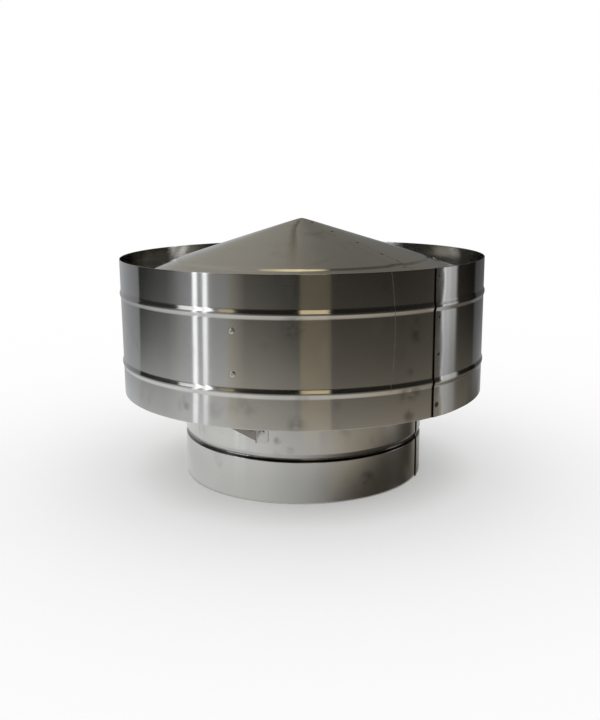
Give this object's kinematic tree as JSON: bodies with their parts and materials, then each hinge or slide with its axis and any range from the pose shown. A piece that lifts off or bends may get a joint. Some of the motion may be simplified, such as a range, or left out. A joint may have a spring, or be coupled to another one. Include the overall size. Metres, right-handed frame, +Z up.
{
  "type": "chimney cowl",
  "caption": "Anti-downdraught chimney cowl in rolled stainless sheet: slip-on flue collar, beaded wind drum and shallow rain cone held by riveted brackets.",
  "frame": {"origin": "centre of the collar's lower edge, on the flue axis", "axes": "+Z up along the flue axis, -Y towards the front, +X to the right"},
  "size_m": [0.4542, 0.4541, 0.3201],
  "materials": {
    "stainless_sheet": "rolled satin sheet",
    "rivet_steel": "bright domed heads"
  },
  "bodies": {
    "root": {"base_collar": "stainless_sheet", "wind_drum": "stainless_sheet", "rain_cone": "stainless_sheet", "front_bracket": "stainless_sheet", "right_bracket": "stainless_sheet", "rear_bracket": "stainless_sheet", "blind_rivets": "rivet_steel"}
  },
  "joints": []
}
